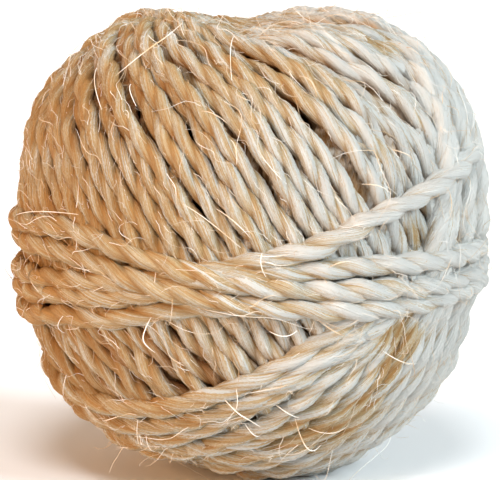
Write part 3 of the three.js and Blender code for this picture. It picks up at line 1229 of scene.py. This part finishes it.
@dataclass
class BallOfTwine:
    """The whole ball: its turns in winding order, made into pieces.

    Attributes:
        form: the ball's outer form.
        twine: the twine's sizes.
        seed: seed of everything that is left to chance.
        stray_radius: radius of the long stray fibres.
    """

    form: BallForm = field(default_factory=BallForm)
    twine: Twine = field(default_factory=Twine)
    seed: int = 11
    stray_radius: float = 0.11

    def __post_init__(self) -> None:
        """Prepares the source of chance, the node trees and the finishes."""
        self.rng = np.random.default_rng(self.seed)
        self.plies, self.hairs, self.strays = PlyTree(), HairTree(), StrayTree()
        self.finish = SisalFinish().material(self.form)
        self.hair_finish = HairFinish().material()

    def under_turns(self) -> list[Turn]:
        """Plans the turns below the surface, of which the first three cross both poles.

        Returns:
            The turns.
        """
        turns = [Turn.in_plane(Layer.UNDER, azimuth, 0.0) for azimuth in (-80.0, -77.0, -74.0)]
        for azimuth in np.arange(-96.0, 117.0, 4.1):
            elevation = 12.0 + self.rng.normal() * 3.0
            turns.append(Turn.in_plane(Layer.UNDER, azimuth, elevation, self.rng.normal()))
        return turns

    def top_turns(self) -> list[Turn]:
        """Plans the turns that close the top, from the back left to the front right.

        Returns:
            The turns.
        """
        return [Turn.in_plane(Layer.TOP, 68.0 + self.rng.normal() * 2.0, 0.0, offset)
                for offset in np.arange(-24.0, 30.5, 2.95)]

    def main_turns(self) -> list[Turn]:
        """Plans the main layer, whose turns lean to the left at the front.

        Returns:
            The turns.
        """
        azimuths = (-104.0, -65.0, -25.0, 0.0, 25.0, 45.0, 62.0, 77.0, 112.0)
        elevations = (43.0, 40.0, 36.0, 35.0, 32.0, 28.0, 27.0, 25.0, 22.0)
        pitch = 5.0
        turns = []
        order = np.append(np.arange(112.0, 43.0, -pitch), np.arange(-104.0, 43.0, pitch))
        for azimuth in order:
            azimuth += self.rng.normal() * 0.35
            elevation = np.interp(azimuth, azimuths, elevations) + self.rng.normal() * 0.4
            turn = replace(Turn.in_plane(Layer.MAIN, azimuth, elevation), thickness=0.93)
            over = float(np.interp(azimuth, (-70.0, -25.0, 45.0, 60.0), (0.0, 0.22, 0.22, 0.05)))
            turns.append(turn.carried(over, 0.1))
        return turns

    def slanted_turns(self) -> list[Turn]:
        """Plans the turns that slant up to the right, below the waist and at the right edge.

        Returns:
            The turns.
        """
        # Azimuth and elevation of each steep turn's normal, then its highest latitude.
        steep = ((76.0, 3.0, 48.0), (67.0, 3.0, 46.0), (58.0, 1.0, 42.0),
                 (53.0, -3.0, 34.0), (50.0, -8.0, 25.0), (48.0, -13.4, 16.0))
        # Three stops of each low turn, then the azimuth from which it shows.
        low = (((-92.0, -60.0), (-61.0, -42.0), (-50.5, -11.0), -110.0),
               ((-102.9, -55.8), (-68.1, -43.4), (-54.2, -12.7), -120.0),
               ((-109.0, -50.9), (-75.5, -40.3), (-56.4, -16.1), -130.0),
               ((-135.0, -56.0), (-86.0, -40.5), (-57.0, -15.0), -150.0),
               ((-155.6, -53.8), (-99.3, -40.0), (-57.7, -13.5), -176.0),
               ((-149.0, -44.4), (-105.0, -38.5), (-63.0, -14.3), -176.0),
               ((-150.1, -37.1), (-103.8, -32.6), (-65.8, -12.9), -176.0))
        turns = [replace(Turn.in_plane(Layer.SLANTED, azimuth, elevation, press=-0.3),
                         shown=(azimuth - 145.0, azimuth - 35.0, ALL_LATITUDES[0], top),
                         thickness=1.12) for azimuth, elevation, top in steep]
        return turns + [replace(Turn.through(Layer.SLANTED, stops, press=-0.3),
                                shown=(first, 20.0, -70.0, -5.0), thickness=1.06)
                        for *stops, first in low]

    def belt_turns(self) -> list[Turn]:
        """Plans the last turns: the lowest, the climbing, the crossing, the lower and the upper.

        Returns:
            The turns.
        """
        lowest = ((-150, -14.1), (-127, -13.3), (-106, -9.1), (-60, -7.4), (0, -7.4), (60, -10),
                  (130, -13))
        climbing = ((-153, -5.6), (-119, -3.4), (-90, 2.0), (-75, 5.6), (-60, 11.9), (-40, 18.0),
                    (-10, 26.0), (40, 29), (100, 14), (155, -4))
        crossing = ((-148, -9.0), (-121, -6.8), (-96, -1.2), (-60, 0.4), (-20, 0.0), (40, 1),
                    (100, -8), (155, -9.5))
        lower = ((-160, 2.6), (-132, 0.6), (-104, -5.9), (-80, -9.0), (-20, -8.9), (40, -7),
                 (100, -4), (155, 0.5))
        upper = ((-164, 6.6), (-140, 7.4), (-118, 3.1), (-92, -2.6), (-60, -5.3), (-20, -5.4),
                 (40, -3), (100, 1), (155, 4))
        # Stops of each turn, its press, and the azimuths between which it shows.
        plan = ((lowest, -0.4, (-210.0, -90.0)), (climbing, 0.0, (-215.0, -26.0)),
                (crossing, -0.2, (-205.0, -10.0)), (lower, -0.1, ALL_ROUND),
                (upper, -0.1, ALL_ROUND))
        return [replace(Turn.round_stops(Layer.BELT, stops, press),
                        shown=(*azimuths, *ALL_LATITUDES), thickness=1.1)
                for stops, press, azimuths in plan]

    def wind(self) -> Winding:
        """Lays every turn in order.

        Returns:
            The finished winding.
        """
        winding = Winding(self.form, self.twine)
        for turn in self.under_turns() + self.top_turns():
            winding.lay(turn.wobble(0.25, self.rng))
        for turn in self.main_turns():
            winding.lay(turn.wobble(0.2, self.rng))
        winding.level()
        for turn in self.slanted_turns() + self.belt_turns():
            winding.lay(turn.wobble(0.12, self.rng))
        return winding

    def build(self) -> list[bpy.types.Object]:
        """Winds the ball and makes its pieces.

        Returns:
            The pieces.
        """
        winding = self.wind()
        groups = {layer: [turn for turn in winding.turns if turn.layer is layer] for layer in Layer}
        main, step = groups[Layer.MAIN], self.twine.step
        half = len(main) // 2
        # Name of each piece, its turns, the points round its twine and the step along it.
        plan = (("under_turns", groups[Layer.UNDER], 8, 2.2),
                ("top_turns", groups[Layer.TOP], 12, 1.1),
                ("main_turns_left", main[:half], 16, step),
                ("main_turns_right", main[half:], 16, step),
                ("slanted_turns", groups[Layer.SLANTED], 16, step),
                ("belt_turns", groups[Layer.BELT], 20, 0.7))
        twine = [self.spin(name, winding, turns, sides, step) for name, turns, sides, step in plan]
        hairs = [self.grow(piece, kind, number) for kind in Hairs
                 for number, piece in enumerate(twine[1:])]
        return twine + hairs + [self.stray_fibres()]

    def spin(self, name: str, winding: Winding, turns: list[Turn], sides: int,
             step: float) -> bpy.types.Object:
        """Makes one piece of twine from some of the turns.

        The points' radius hands the tree the twine's size, and their tilt its depth.

        Args:
            name: the piece's name.
            winding: the finished winding.
            turns: the turns to include.
            sides: points round the twine's outline.
            step: distance between two sections.

        Returns:
            The dressed piece.
        """
        paths = bpy.data.curves.new(f"{name}_paths", "CURVE")
        paths.dimensions = "3D"
        for turn in turns:
            points, depth = winding.axis_points(turn)
            length = np.linalg.norm(points - np.roll(points, 1, axis=0), axis=1).sum()
            count = int(length / step)
            place = np.linspace(0, len(depth), count, endpoint=False)
            depths = np.interp(place, np.arange(len(depth) + 1), np.append(depth, depth[0]))
            thick = turn.thickness * (1 + 0.05 * loop_noise(count, (3, 8, 17, 29, 41), self.rng))
            path = add_path(paths, "POLY", even_loop(points, count))
            path.use_cyclic_u = True
            path.points.foreach_set("radius", thick)
            path.points.foreach_set("tilt", depths)
        return made_piece(name, paths, self.plies, {
            "Lay": self.twine.lay * MM, "Ply radius": self.twine.ply_radius * MM,
            "Ply spread": self.twine.ply_spread * MM, "Sides": sides,
            "Ball middle": tuple(self.form.middle() * MM), "Ruffle": self.twine.ruffle * MM,
            "Material": self.finish})

    def grow(self, piece: bpy.types.Object, kind: Hairs, number: int) -> bpy.types.Object:
        """Grows loose fibres from a piece of twine.

        Args:
            piece: the twine they grow from.
            kind: which kind of loose fibre.
            number: a number that sets its seed apart.

        Returns:
            The dressed piece.
        """
        size = kind.value
        return made_piece(f"{piece.name}_{kind.name.lower()}", piece.data, self.hairs, {
            "Density": size.per_area, "Shortest": size.shortest * MM, "Longest": size.longest * MM,
            "Thickness": size.radius * MM, "Lift": size.lift, "Stray": size.stray,
            "Curl": size.curl, "Sections": size.sections,
            "Ball middle": tuple(self.form.middle() * MM),
            "Seed": self.seed * 100 + size.first_seed + number, "Material": self.hair_finish})

    def stray_fibres(self) -> bpy.types.Object:
        """Makes the long stray fibres that stand off the front one by one.

        Returns:
            The dressed piece.
        """
        least, arch, chance = 0.5, 2.2, 0.8
        paths = bpy.data.curves.new("stray_paths", "CURVE")
        paths.dimensions = "3D"
        for stops in STRAYS:
            units = np.array([unit_direction(*stop) for stop in stops])
            share = np.linspace(0, 1, len(stops))
            lift = least + arch * np.sin(np.pi * share) + self.rng.uniform(0, chance)
            points = units * (self.form.radius(units) + lift)[:, None] + self.form.middle()
            path = add_path(paths, "NURBS", points)
            path.order_u = 3
            path.use_endpoint_u = True
            path.resolution_u = 6
        return made_piece("stray_fibres", paths, self.strays, {
            "Thickness": self.stray_radius * MM, "Material": self.hair_finish})


@dataclass(frozen=True)
class Studio:
    """The floor, the soft lights and the camera, in metres.

    Attributes:
        distance: from the camera to the ball's middle.
        elevation: the camera's height angle.
        lens: focal length.
        sensor: width of the camera's sensor.
        aim: how far beside the ball's middle the camera looks.
        lights: name of each light, where it comes from, its strength, its spread and colour.
        sky: colour of the surroundings.
        sky_strength: their strength.
        pale: how pale the floor is.
        half_floor: half the floor's width.
    """

    distance: float = 0.6
    elevation: float = 8.0
    lens: float = 238.0
    sensor: float = 36.0
    aim: tuple[float, float, float] = (-0.00027, 0.0, -0.00020)
    lights: tuple[tuple[str, tuple[float, float, float], float, float, Colour], ...] = (
        ("left", (-0.8, -0.55, 0.28), 3.0, 30.0, (1.0, 0.54, 0.24)),
        ("right", (0.8, -0.5, 0.58), 3.5, 28.0, (0.80, 0.93, 1.0)),
        ("key", (-0.05, -0.6, 0.9), 1.9, 20.0, (0.97, 0.98, 1.0)),
    )
    sky: Colour = (1.0, 0.95, 0.89)
    sky_strength: float = 0.34
    pale: float = 0.9
    half_floor: float = 3.0

    def build(self, middle: np.ndarray) -> None:
        """Makes the camera, the lights and the floor.

        Args:
            middle: the ball's middle.
        """
        bpy.context.scene.view_settings.view_transform = "Standard"
        self._camera(Vector(middle) + Vector(self.aim))
        self._floor()
        self._world()
        for name, origin, power, spread, colour in self.lights:
            data = bpy.data.lights.new(name, "SUN")
            data.energy = power
            data.angle = math.radians(spread)
            data.color = colour
            light = linked(name, data)
            light.rotation_euler = (-Vector(origin)).to_track_quat("-Z", "Y").to_euler()

    def _camera(self, target: Vector) -> None:
        """Points the camera at the target from the front.

        Args:
            target: what it looks at.
        """
        data = bpy.data.cameras.new("camera")
        data.lens = self.lens
        data.sensor_width = self.sensor
        camera = linked("camera", data)
        up = math.radians(self.elevation)
        camera.location = target + self.distance * Vector((0.0, -math.cos(up), math.sin(up)))
        camera.rotation_euler = (target - camera.location).to_track_quat("-Z", "Y").to_euler()
        bpy.context.scene.camera = camera

    def _floor(self) -> None:
        """Adds the plain pale floor."""
        half = self.half_floor
        mesh = bpy.data.meshes.new("floor")
        mesh.from_pydata([(-half, -half, 0), (half, -half, 0), (half, half, 0), (-half, half, 0)],
                         [], [(0, 1, 2, 3)])
        floor = linked("floor", mesh)
        colour = (self.pale, self.pale, self.pale, 1.0)
        mesh.materials.append(ShaderMaker("pale_floor").surface(Base_Color=colour, Roughness=0.9))

    def _world(self) -> None:
        """Sets the even pale surroundings."""
        world = bpy.data.worlds.new("surroundings")
        world.use_nodes = True
        background = world.node_tree.nodes["Background"]
        background.inputs["Color"].default_value = (*self.sky, 1.0)
        background.inputs["Strength"].default_value = self.sky_strength
        bpy.context.scene.world = world


def write_sizes() -> None:
    """Brings the view layer up to date."""
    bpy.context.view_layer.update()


def main() -> None:
    """Builds the studio and the ball, and reports each piece."""
    logging.basicConfig(level=logging.INFO)
    ball = BallOfTwine()
    Studio().build(ball.form.middle() * MM)
    for piece in ball.build():
        triangles = sum(len(polygon.vertices) - 2 for polygon in piece.data.polygons)
        LOG.info("%s: %d triangles", piece.name, triangles)
    write_sizes()


if __name__ == "__main__":
    main()
